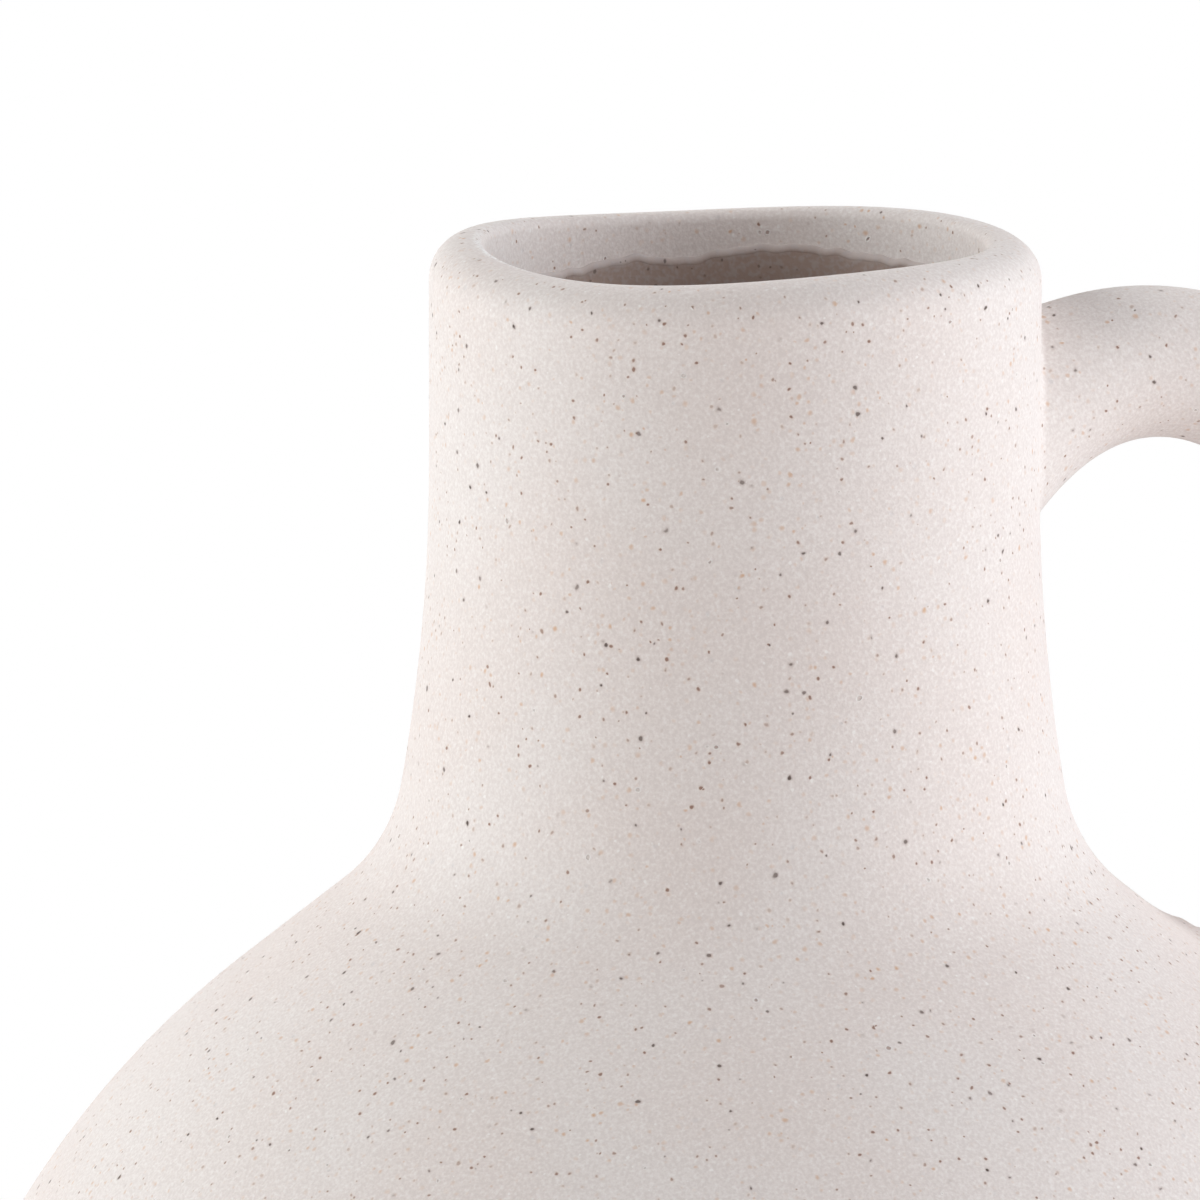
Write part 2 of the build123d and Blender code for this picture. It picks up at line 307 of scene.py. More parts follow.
def inside_line(form, glaze=0.0):
    """The clay's inside, or the glaze's where it has a thickness."""
    return under_line(form, form.wall + glaze, underside + form.floor + glaze, form.floor_corner - glaze)


def lap_radius(form, depth, height):
    """Radius at a height of the line that lies a depth under the outside."""
    line = under_line(form, depth, underside, form.base_round)
    return float(line.at(line.run_at(height))[0])


def tongue_points(form, joint, slip):
    """Section of a rim and its tongue, from the inner wall out to the face."""
    top, half = joint + form.tongue, form.wall / 2 + slip
    points = ((form.wall, top), (half, top), (half, joint), (0.0, joint))
    return [(lap_radius(form, depth, height), height) for depth, height in points]


def rebate_points(form, joint):
    """Section of the lap that comes down round a tongue, from the face in to the inner wall."""
    return tongue_points(form, joint, 0.0)[::-1]


class Turning:
    """Swings half sections round the jug's axis into rings of points with smooth normals."""

    def __init__(self, form):
        self.form = form
        self.bearings = (np.arange(form.round_steps) + 0.5) * 2 * math.pi / form.round_steps
        self.across, self.aside = np.cos(self.bearings), np.sin(self.bearings)
        # Each wave of the lip: height, lobes and the bearing in degrees of a high side
        waves = ((form.lip_tilt, 1, 30.2), (form.lip_sway, 2, -28.6), (form.lip_ripple, 3, 33.9))
        self.lift, self.slope = 0 * self.bearings, 0 * self.bearings
        for size, lobes, high in waves:
            phase = lobes * (self.bearings - math.radians(high))
            self.lift += size * np.cos(phase)
            self.slope -= size * lobes * np.sin(phase)

    def rings(self, radii, heights, headings=None):
        """Rings through points of a half section, which near the lip follow its wave. Without headings
        the faces between them stay flat."""
        radii, heights = np.asarray(radii, float)[:, None], np.asarray(heights, float)[:, None]
        rise = (self.form.height - lip_joint) * wave_growth
        share = np.clip((heights - lip_joint) / rise, 0, 1)
        weight = share * share * (3 - 2 * share)
        growth = 6 * share * (1 - share) / rise
        points = np.stack([radii * self.across, radii * self.aside, heights + weight * self.lift], axis=-1)
        if headings is None:
            return points, None
        out, fall = np.sin(headings)[:, None], -np.cos(headings)[:, None]
        along = np.stack([out * self.across, out * self.aside, fall * (1 + growth * self.lift)], axis=-1)
        turn = np.stack([-radii * self.aside, radii * self.across, weight * self.slope], axis=-1)
        return points, unit(np.cross(along, turn))

    def stretch(self, line, first, last, spacing):
        """Rings along a stretch of a line. One that is followed backwards faces the other way."""
        steps = max(1, int(round(abs(last - first) / spacing)))
        radii, heights, headings = line.at(np.linspace(first, last, steps + 1))
        if last < first:
            headings = headings + math.pi
        return self.rings(radii, heights, headings)

    def step(self, points):
        """Flat-faced rings through the points of a joint's section."""
        return self.rings(*zip(*points))


def put(name, data):
    """Puts a new object into the scene."""
    placed = bpy.data.objects.new(name, data)
    bpy.context.scene.collection.objects.link(placed)
    return placed


def unit(vectors):
    """Vectors made one long."""
    return vectors / np.maximum(np.linalg.norm(vectors, axis=-1, keepdims=True), 1e-15)


def rounded(grid):
    """Smooth normals of a grid of rings that go round."""
    along = np.gradient(grid, axis=0)
    turn = np.roll(grid, -1, axis=1) - np.roll(grid, 1, axis=1)
    return unit(np.cross(along, turn))


def join_bands(name, bands, closed=True):
    """Makes one closed mesh of bands of rings that follow on from each other. The last ring of closed bands
    is the first one again; open bands have each end drawn together to its middle."""
    rings = np.concatenate([bands[0][0][:1], *(grid[1:] for grid, _ in bands)])
    if closed:
        rings = rings[:-1]
    count, columns = rings.shape[:2]
    place = np.arange(columns)
    beside = np.roll(place, -1)
    starts = columns * (np.arange(count + closed) % count)[:, None]
    upper, lower = starts[:-1], starts[1:]
    quads = np.stack([upper + place, lower + place, lower + beside, upper + beside], axis=-1)
    points, faces = rings.reshape(-1, 3).tolist(), quads.reshape(-1, 4).tolist()
    corners, smooth = [], []
    for grid, normals in bands:
        smooth.append(np.full(columns * (len(grid) - 1), normals is not None))
        normals = np.zeros_like(grid) if normals is None else normals
        turned = (normals[:-1], normals[1:], normals[1:, beside], normals[:-1, beside])
        corners.append(np.stack(turned, axis=2).reshape(-1, 3))
    if not closed:
        for ring, start, near, far in ((rings[0], 0, beside, place), (rings[-1], starts[-1], place, beside)):
            faces += np.stack([start + near, np.full(columns, len(points)), start + far], axis=1).tolist()
            points.append(ring.mean(axis=0).tolist())
            corners.append(np.zeros((3 * columns, 3)))
            smooth.append(np.zeros(columns, bool))
    mesh = bpy.data.meshes.new(name)
    mesh.from_pydata(points, [], faces)
    mesh.polygons.foreach_set("use_smooth", np.concatenate(smooth))
    mesh.normals_split_custom_set(np.concatenate(corners))
    if mesh.validate():
        raise RuntimeError(f"the mesh of {name} was not clean")
    return put(name, mesh)


def round_places(piece):
    """Radius, bearing and height of each point of a piece."""
    places = np.zeros(3 * len(piece.data.vertices), np.float32)
    piece.data.vertices.foreach_get("co", places)
    x, y, z = places.reshape(-1, 3).T
    return np.hypot(x, y), np.arctan2(y, x), z


def add_values(piece, name, values):
    """Gives each point of a piece a value that its material reads."""
    attribute = piece.data.attributes.new(name, "FLOAT", "POINT")
    attribute.data.foreach_set("value", values.astype(np.float32))


def settle(piece, node, material):
    """Gives a piece its material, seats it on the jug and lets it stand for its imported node."""
    piece.data.materials.append(material)
    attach(piece, "root")
    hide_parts(node)


class Value:
    """A shader socket that can be written in a sum."""

    def __init__(self, look, socket):
        self.look, self.socket = look, socket

    def math(self, operation, first, second):
        """One Math node on two values."""
        return self.look.node("ShaderNodeMath", {"operation": operation}, {0: first, 1: second})

    def __add__(self, other):
        return self.math("ADD", self, other)

    __radd__ = __add__

    def __sub__(self, other):
        return self.math("SUBTRACT", self, other)

    def __rsub__(self, other):
        return self.math("SUBTRACT", other, self)

    def __mul__(self, other):
        return self.math("MULTIPLY", self, other)

    __rmul__ = __mul__

    def __truediv__(self, other):
        return self.math("DIVIDE", self, other)

    def beside(self, output):
        """Another output of the same node."""
        return Value(self.look, self.socket.node.outputs[output])

    def among(self, low, high):
        """1 between two values, 0 elsewhere."""
        band = {0: self, 1: (low + high) / 2, 2: (high - low) / 2}
        return self.look.node("ShaderNodeMath", {"operation": "COMPARE"}, band)

    def rise(self, low, high):
        """A soft step from 0 at `low` to 1 at `high`."""
        edges = {"Value": self, "From Min": low, "From Max": high}
        return self.look.node("ShaderNodeMapRange", {"interpolation_type": "SMOOTHSTEP"}, edges)


class Look:
    """One node-based material."""

    def __init__(self, owner):
        owner.use_nodes = True
        self.tree = owner.node_tree
        self.tree.nodes.clear()

    def node(self, kind, settings=None, sockets=None, output=0):
        """Adds a node: its settings first, then its sockets' values or links. Gives one of its outputs."""
        made = self.tree.nodes.new(kind)
        for name, value in (settings or {}).items():
            setattr(made, name, value)
        for key, value in (sockets or {}).items():
            if isinstance(value, Value):
                self.tree.links.new(value.socket, made.inputs[key])
            else:
                made.inputs[key].default_value = value
        return Value(self, made.outputs[output]) if made.outputs else None

    def mix(self, share, first, second):
        """A colour between two, by a share."""
        sides = [side if isinstance(side, Value) else (*side, 1.0) for side in (first, second)]
        return self.node("ShaderNodeMix", {"data_type": "RGBA"}, {0: share, 6: sides[0], 7: sides[1]}, 2)

    def carried(self, name):
        """A value that the points of a piece carry."""
        return self.node("ShaderNodeAttribute", {"attribute_name": name}, output="Fac")

    def place(self):
        """Where a point of the surface is, in the jug's own frame."""
        return self.node("ShaderNodeTexCoord", output="Object")

    def clouds(self, size, roughness=0.5, output=0):
        """Cloudy noise with patches of about a size."""
        sockets = {"Vector": self.place(), "Scale": 1 / size, "Detail": 1.0, "Roughness": roughness}
        return self.node("ShaderNodeTexNoise", sockets=sockets, output=output)

    def vector(self, operation, sockets, output=0):
        """One Vector Math node."""
        return self.node("ShaderNodeVectorMath", {"operation": operation}, sockets, output)

    def crumbled(self, size, pull):
        """A place drawn a little to and fro, which makes round specks ragged."""
        centred = self.vector("SUBTRACT", {0: self.clouds(size, output="Color"), 1: (0.5, 0.5, 0.5)})
        scaled = self.vector("SCALE", {0: centred, "Scale": pull})
        return self.vector("ADD", {0: self.place(), 1: scaled})

    def rough_face(self, relief, depth):
        """The normal of a face that a relief roughens."""
        return self.node("ShaderNodeBump", sockets={"Height": relief, "Distance": depth})

    def specks(self, place, spacing, smallest, largest):
        """Points scattered through the clay: how many of its own radii away the nearest one is, and two
        random numbers of that point."""
        sockets = {"Vector": place, "Scale": 1 / spacing}
        near = self.node("ShaderNodeTexVoronoi", sockets=sockets, output="Distance")
        size = self.node("ShaderNodeSeparateColor", sockets={0: near.beside("Color")}, output="Red")
        away = near * spacing / (size * (largest - smallest) + smallest)
        return away, size.beside("Green"), size.beside("Blue")

    def finish(self, sockets):
        """Joins the surface shader to the output, with the weak gloss of clay."""
        shader = self.node("ShaderNodeBsdfPrincipled", sockets={"Specular IOR Level": 0.35, **sockets})
        self.node("ShaderNodeOutputMaterial", sockets={"Surface": shader})


# Smallest and largest radius of the specks, size and pull of the crumbs that make them ragged, and sizes of
# the warmer patches, the clay's clouds and the glaze's
fine_radii, large_radii = (0.13 * mm, 0.30 * mm), (0.18 * mm, 0.37 * mm)
glaze_radii, crumbs = (0.15 * mm, 0.34 * mm), (0.9 * mm, 0.5 * mm)
patch_size, cloud_size, glaze_cloud_size = 28 * mm, 4.5 * mm, 5 * mm


def speckled_clay(name, finish, body, warm):
    """Matt fired clay with sandy grain, dark iron specks, brown specks that bleed in clusters, faint grey
    ones, pale grains and pits, with a painted highlight on the pits' rims and along the lip's inner edge."""
    material = bpy.data.materials.new(name)
    look = Look(material)
    patches, mottle = look.clouds(patch_size), look.clouds(cloud_size, 0.55)
    grit, place = look.clouds(finish.grain, 0.65), look.crumbled(*crumbs)
    away, depth, kind = look.specks(place, finish.fine_spacing, *fine_radii)
    dot = 1 - away.rise(0.4, 1.0)
    rust, faint, grain = kind.among(0.0, 0.26), kind.among(0.26, 0.84), kind.among(0.9, 1.0)
    bleed = rust * 0.3 + faint * depth * (mottle.rise(0.42, 0.62) * 0.7 + 0.35)
    off, dark, sort = look.specks(place, finish.large_spacing, *large_radii)
    iron, ash, pit = sort.among(0.0, 0.6), sort.among(0.6, 0.82), sort.among(0.82, 1.0)
    core = 1 - off.rise(0.5, 0.95)
    rim = off.rise(0.5, 0.8) * (1 - off.rise(0.9, 1.3)) * pit
    base = look.mix(patches.rise(0.35, 0.65), body, warm)
    for share, over in (
        ((0.55 - grit).rise(0.0, 0.2) * 0.30, finish.shade),
        (grit.rise(0.52, 0.75) * 0.45, finish.pale),
        ((1 - away.rise(0.3, 1.6)) * bleed, finish.bleed),
        (dot * rust * depth.rise(-0.3, 0.7) * 0.95, finish.rust),
        (dot * grain * 0.8, finish.pale),
        ((1 - off.rise(0.2, 1.6)) * ash * 0.25, finish.ash),
        ((1 - off.rise(0.5, 1.6)) * iron * 0.35, finish.rust),
        (core * iron * (dark * 0.4 + 0.6), finish.iron),
        # Painted highlight along the lip's inner edge, broken up by the grit
        (look.carried("worn_edge") * grit.rise(0.35, 0.55), finish.lip_highlight),
        # Painted highlight on the raised rims of the pits
        (rim * 0.6, finish.pale),
        (core * pit * (dark * 0.5 + 0.2), finish.rust),
    ):
        base = look.mix(share, base, over)
    relief = grit + mottle * 1.2 + patches * 6.0 + rim * 0.5 - core * (pit + 0.5)
    normal = look.rough_face(relief, finish.grain_depth)
    rough = mottle * 0.1 + (finish.roughness - 0.05)
    sheen = {"Sheen Weight": finish.sheen, "Sheen Roughness": 0.5}
    look.finish({"Base Color": base, "Roughness": rough, "Normal": normal, **sheen})
    return material


def clay_look(finish):
    """The body's speckled clay, made once."""
    made = bpy.data.materials.get("speckled_clay")
    return made or speckled_clay("speckled_clay", finish, finish.clay, finish.warm)


def foot_look(finish):
    """The foot ring's wiped clay."""
    return speckled_clay("wiped_foot_clay", finish, finish.bare, [0.9 * part for part in finish.bare])


def liner_look(finish):
    """The liner's thin glaze: paler at its rolled edge, dark from just under it down, and speckled. Its dark
    is the glaze's own colour with painted shadow under the edge and painted shade deep in the neck.
    """
    material = bpy.data.materials.new("liner_glaze")
    look = Look(material)
    mottle, grit = look.clouds(glaze_cloud_size), look.clouds(finish.grain * 1.6)
    depth = (look.carried("under_edge") / mm + mottle * 1.2).rise(0.4, 2.0)
    away, chance, kind = look.specks(look.crumbled(*crumbs), finish.fine_spacing, *glaze_radii)
    spot = (1 - away.rise(0.35, 1.0)) * kind.among(0.0, 0.4)
    # Just under the edge the colour turns to the liner's: the glaze's own dark, with painted shadow under
    # the edge and painted shade deep in the neck
    base = look.mix(depth, finish.shade, finish.liner)
    base = look.mix(grit.rise(0.4, 0.7) * 0.25, base, finish.ash)
    base = look.mix(spot * (chance * 0.5 + 0.3), base, finish.iron)
    normal = look.rough_face(grit + mottle * 2.0, finish.grain_depth)
    look.finish({"Base Color": base, "Roughness": 0.66 - depth * 0.14, "Normal": normal})
    return material


class JUG_OT_throw_body(bpy.types.Operator):
    """Throws the bowl, the shoulder and the neck"""

    bl_idname = "jug.throw_body"
    bl_label = "Throw the body"

    def execute(self, context):
        form = context.scene.jug_form
        clay = clay_look(context.scene.jug_finish)
        outer, inner, turning = outside_line(form), inside_line(form), Turning(form)
        for name, top, bottom in (
            ("neck_collar", lip_joint, throat_joint),
            ("shoulder_dome", throat_joint, belly_joint),
        ):
            low, high = inner.run_at(bottom + form.tongue), inner.run_at(top + form.tongue)
            bands = [
                turning.stretch(outer, outer.run_at(top), outer.run_at(bottom), outside_spacing),
                turning.step(rebate_points(form, bottom)),
                turning.stretch(inner, low, high, inside_spacing),
                turning.step(tongue_points(form, top, form.slip)),
            ]
            settle(join_bands(name + "_clay", bands), name, clay)
        seat, clear = ring_top + form.slip, form.slip
        ring_inner = ring_outer - form.foot_width
        edge = outer.runs[-1] - ring_outer - ring_clear
        recess = [
            (float(outer.at(edge)[0]), underside),
            (ring_outer + clear, underside),
            (ring_outer + clear, seat),
            (ring_inner - clear, seat),
            (ring_inner - clear, underside),
            (near_axis, underside),
        ]
        brim = inner.run_at(belly_joint + form.tongue)
        bands = [
            turning.stretch(inner, inner.runs[-1] - near_axis, brim, bowl_spacing),
            turning.step(tongue_points(form, belly_joint, form.slip)),
            turning.stretch(outer, outer.run_at(belly_joint), edge, outside_spacing),
            turning.step(recess),
        ]
        settle(join_bands("lower_bowl_clay", bands, closed=False), "lower_bowl", clay)
        return {"FINISHED"}


class JUG_OT_roll_lip(bpy.types.Operator):
    """Rolls the lip, which is not quite level"""

    bl_idname = "jug.roll_lip"
    bl_label = "Roll the lip"

    def execute(self, context):
        form = context.scene.jug_form
        outer, turning = outside_line(form), Turning(form)
        foot = 2 * form.tongue
        bands = [
            turning.stretch(outer, foot, outer.run_at(lip_joint), lip_spacing),
            turning.step(rebate_points(form, lip_joint)),
        ]
        lip = join_bands("rolled_lip_clay", bands)
        # Paints a highlight along the lip's inner edge, strongest at one bearing and fading round from it
        radii, around, heights = round_places(lip)
        crest = np.interp(around, turning.bearings, turning.lift, period=2 * math.pi) + form.height
        edge = form.neck - form.wall + form.lip_inner * highlight_share
        off = np.hypot(radii - edge, heights - crest)
        facing = np.clip(np.cos(around - form.highlight_side), 0, 1) ** highlight_power
        add_values(lip, "worn_edge", np.clip(highlight_strength - off / form.highlight_width, 0, 1) * facing)
        settle(lip, "rolled_lip", clay_look(context.scene.jug_finish))
        return {"FINISHED"}


class JUG_OT_turn_foot(bpy.types.Operator):
    """Turns the foot ring"""

    bl_idname = "jug.turn_foot"
    bl_label = "Turn the foot ring"

    def execute(self, context):
        form = context.scene.jug_form
        turning, edge = Turning(form), form.foot_round
        line = TurnedLine(ring_outer, ring_top, 0.0)
        line.straight(ring_top - edge).arc(edge, -math.pi / 2)
        line.straight(form.foot_width - 2 * edge).arc(edge, -math.pi / 2)
        line.straight(ring_top - edge).finish()
        top = [(ring_outer - form.foot_width, ring_top), (ring_outer, ring_top)]
        bands = [turning.stretch(line, 0.0, line.runs[-1], foot_spacing), turning.step(top)]
        foot = join_bands("foot_ring_clay", bands)
        settle(foot, "foot_ring", foot_look(context.scene.jug_finish))
        return {"FINISHED"}


class JUG_OT_pour_liner(bpy.types.Operator):
    """Pours the glaze inside, with its wandering rolled edge"""

    bl_idname = "jug.pour_liner"
    bl_label = "Pour the liner"

    def execute(self, context):
        form = context.scene.jug_form
        turning = Turning(form)
        skin, clay = inside_line(form, form.glaze), inside_line(form)
        depths = np.array(edge_depths) * mm
        drop = np.interp(turning.bearings, np.radians(edge_bearings), depths, period=2 * math.pi)
        window, side = np.hanning(edge_window), edge_window // 2
        ringed = np.concatenate([drop[-side:], drop, drop[:side]])
        drop = np.convolve(ringed, window / window.sum(), mode="valid")
        for ripple, lobes, start in edge_ripples:
            drop += ripple * np.sin(lobes * turning.bearings + start)
        edge = form.height - drop
        low, bead = lip_joint - edge_start, form.glaze_bead
        skin_rows, bead_rows = 16, 15
        shares = np.linspace(0, 1, skin_rows)[:, None]
        heights = low + (edge - bead_height * bead - low) * shares
        inward = np.full_like(heights, form.glaze)
        turn = np.linspace(0, math.pi, bead_rows)[1:, None]
        swell = form.glaze * (1 - turn / math.pi) + (bead - form.glaze / 2) * np.sin(turn)
        heights = np.concatenate([heights, edge - bead_height * bead / 2 * (1 + np.cos(turn))])
        inward = np.concatenate([inward, swell + 0 * edge])
        radii = form.neck - form.wall - inward
        grid = np.stack([radii * turning.across, radii * turning.aside, heights + 0 * radii], axis=-1)
        back = turning.stretch(clay, clay.run_at(low), clay.runs[-1] - near_axis, liner_spacing)
        bands = [
            turning.stretch(skin, skin.runs[-1] - near_axis, skin.run_at(low), liner_spacing),
            (grid, rounded(grid)),
            flat(grid[-1], back[0][0]),
            back,
        ]
        liner = join_bands("liner_glaze_skin", bands, closed=False)
        _, around, heights = round_places(liner)
        top = np.interp(around, turning.bearings, edge, period=2 * math.pi)
        add_values(liner, "under_edge", np.clip(top - heights, 0, 1))
        settle(liner, "liner_glaze", liner_look(context.scene.jug_finish))
        return {"FINISHED"}


# How the handle swells towards each wall: over what reach, by what power, and how much its half height, its
# half width and the depth of its middle grow there; how deep under the wall the swelling levels out; and the
# direction square to the handle's plane
neck_swell = (25 * mm, 2.4, 1.7 * mm, 2.0 * mm, 1.7 * mm)
shoulder_swell = (20 * mm, 6.8, 4.3 * mm, 3.2 * mm, 1.5 * mm)
buried = 6 * mm
sideways = np.array([0.0, 1.0, 0.0])


def swelling(share, power, reach):
    """How far a root has swollen: a power of the share of its reach towards the wall, and past the wall on
    at the same slope, which levels out at the buried end."""
    past = np.clip(share - 1, 0, None)
    return np.minimum(share, 1) ** power + power * past * (1 - past * reach / (2 * buried))


class EarLine:
    """The handle's centre line: one arc out of the neck, one over the crest, and a curve down to the
    shoulder. Its headings are 0 straight out and a quarter turn straight up."""

    def __init__(self, form, ear, line):
        crest = TurnedLine(form.neck, form.height - ear.drop, ear.rise + math.pi / 2)
        crest.arc(ear.root_arc, -ear.rise).arc(ear.crest_arc, -math.pi / 2).finish()
        points = np.column_stack([crest.radii, crest.heights])
        centre = line.radii.max() - form.belly_round
        landing = belly_joint + math.sqrt(form.belly_round**2 - (ear.landing - centre) ** 2)
        start, end = points[-1], np.array([ear.landing, landing])
        reach = np.linalg.norm(end - start)
        leave = np.array([0.0, -1.0]) * reach
        arrive = np.array([-math.sin(ear.lean), -math.cos(ear.lean)]) * reach
        t = np.linspace(0, 1, int(reach / line_spacing))[1:, None]
        rest = 1 - t
        curve = (1 + 2 * t) * rest**2 * start + (3 - 2 * t) * t**2 * end
        curve = curve + t * rest**2 * leave - rest * t**2 * arrive
        drift = 6 * t * rest * (end - start) + (1 - 3 * t) * rest * leave + (3 * t - 2) * t * arrive
        self.points = np.concatenate([points, curve])
        self.headings = np.concatenate([crest.headings - math.pi / 2, np.arctan2(drift[:, 1], drift[:, 0])])
        self.runs = runs_along(self.points)
        self.length = self.runs[-1]
        self.shoulder = math.asin((landing - belly_joint) / form.belly_round) - math.pi

    def at(self, distances):
        """Points and headings at distances along the line, straight on past both ends."""
        inside = np.clip(distances, 0, self.length)
        heading = np.interp(inside, self.runs, self.headings)
        x = np.interp(inside, self.runs, self.points[:, 0]) + np.cos(heading) * (distances - inside)
        z = np.interp(inside, self.runs, self.points[:, 1]) + np.sin(heading) * (distances - inside)
        return np.stack([x, 0 * x, z], axis=-1), heading

    def body(self, ear, distances, phases):
        """Rings of the handle: ellipses that swell, and turn to lie along the wall, near both roots."""
        middle, heading = self.at(distances)
        tall, wide, shift, turn = ear.thickness / 2, ear.thickness / 2, 0.0, 0.0
        roots = ((neck_swell, distances, 0.0), (shoulder_swell, self.length - distances, self.shoulder))
        for (reach, power, taller, wider, deeper), off, slope in roots:
            share = np.clip(1 - off / reach, 0, None)
            grown = swelling(share, power, reach)
            tall, wide, shift = tall + taller * grown, wide + wider * grown, shift + deeper * grown
            turn = turn + (slope - heading) * np.minimum(share, 1)
        across = heading + turn
        outward = np.stack([-np.sin(across), 0 * across, np.cos(across)], axis=-1)[:, None]
        tall, wide, shift = [sizes[:, None, None] for sizes in (tall / np.cos(turn), wide, shift)]
        phases = phases[None, :, None]
        return middle[:, None] + outward * (tall * np.cos(phases) - shift) + sideways * wide * np.sin(phases)

    def cut(self, distance):
        """Middle and direction of the plane square to the line at a distance."""
        middle, heading = self.at(np.array([distance]))
        return middle[0], np.array([math.cos(heading[0]), 0.0, math.sin(heading[0])])


def against_wall(line, points):
    """How far points stand out of the jug's outside, and the wall's nearest points and normals."""
    past_lip, batch = 20 * mm, 2000
    keep = (line.heights > belly_joint) & (line.runs > past_lip)
    radii, heights, headings = line.radii[keep], line.heights[keep], line.headings[keep]
    reach = np.hypot(points[:, 0], points[:, 1])
    nearest = np.concatenate(
        [
            np.argmin((reach[part, None] - radii) ** 2 + (points[part, 2, None] - heights) ** 2, axis=1)
            for part in np.array_split(np.arange(len(points)), len(points) // batch + 1)
        ]
    )
    out, up = np.cos(headings[nearest]), np.sin(headings[nearest])
    off_r, off_z = reach - radii[nearest], points[:, 2] - heights[nearest]
    gap = off_r * out + off_z * up
    foot_r, foot_z = reach - gap * out, points[:, 2] - gap * up
    bearing = points[:, :2] / reach[:, None]
    feet = np.column_stack([bearing * foot_r[:, None], foot_z])
    return gap, feet, np.column_stack([bearing * out[:, None], up])


def worked_root(line, meet, start, reach, rows):
    """Rings of the clay worked from the handle down on to the wall and out over it by a reach, the last one
    just under its face."""
    _, _, normals = against_wall(line, meet)
    loop = np.roll(meet, -1, axis=0) - np.roll(meet, 1, axis=0)
    outward = unit(np.cross(loop, normals))
    away = ((meet - meet.mean(axis=0)) * outward).sum(axis=1)
    outward = outward * np.sign(np.median(away))
    reach = np.broadcast_to(reach, len(meet))[:, None]
    _, ends, _ = against_wall(line, meet + outward * reach)
    rings = []
    for t in np.linspace(0, 1, rows):
        rings.append((1 - t) ** 2 * start + 2 * t * (1 - t) * meet + t * t * ends)
    _, feet, normals = against_wall(line, meet + outward * (reach + tuck_reach))
    rings.append(feet - normals * tuck)
    return np.array(rings)


def slide_to_wall(line, ring, direction):
    """Slides a ring along a direction until it meets the wall."""
    furthest, steps = 30 * mm, 600
    runs = np.linspace(0, furthest, steps + 1)
    tracks = ring[:, None] + runs[None, :, None] * direction
    gaps = against_wall(line, tracks.reshape(-1, 3))[0].reshape(len(ring), -1)
    slid = np.array([crossing(runs, -gap) for gap in gaps])
    return ring + slid[:, None] * direction


def flat(first, last):
    """A flat-faced band between two rings."""
    return np.stack([first, last]), None


class Root:
    """The necked end of the handle and the bore of the coil round it, from the cut to the wall."""

    def __init__(self, form, ear, line, cut, phases, toward_wall):
        middle, direction = cut
        raised = np.cross(direction, sideways)
        circle = np.cos(phases)[:, None] * raised + np.sin(phases)[:, None] * sideways
        self.line = line
        self.peg = middle + circle * ear.necked
        self.bore = middle + circle * (ear.necked + form.slip)
        self.peg_foot = slide_to_wall(line, self.peg, direction * toward_wall)
        self.bore_foot = slide_to_wall(line, self.bore, direction * toward_wall)

    def seat(self, skirt):
        """Rings under the coil, along the wall from its skirt in to its bore."""
        rings = [skirt]
        for share in (0.2, 0.4, 0.6, 0.8):
            _, feet, normals = against_wall(self.line, skirt + (self.bore_foot - skirt) * share)
            rings.append(feet - normals * tuck * (1 - share))
        rings.append(self.bore_foot)
        return np.array(rings)


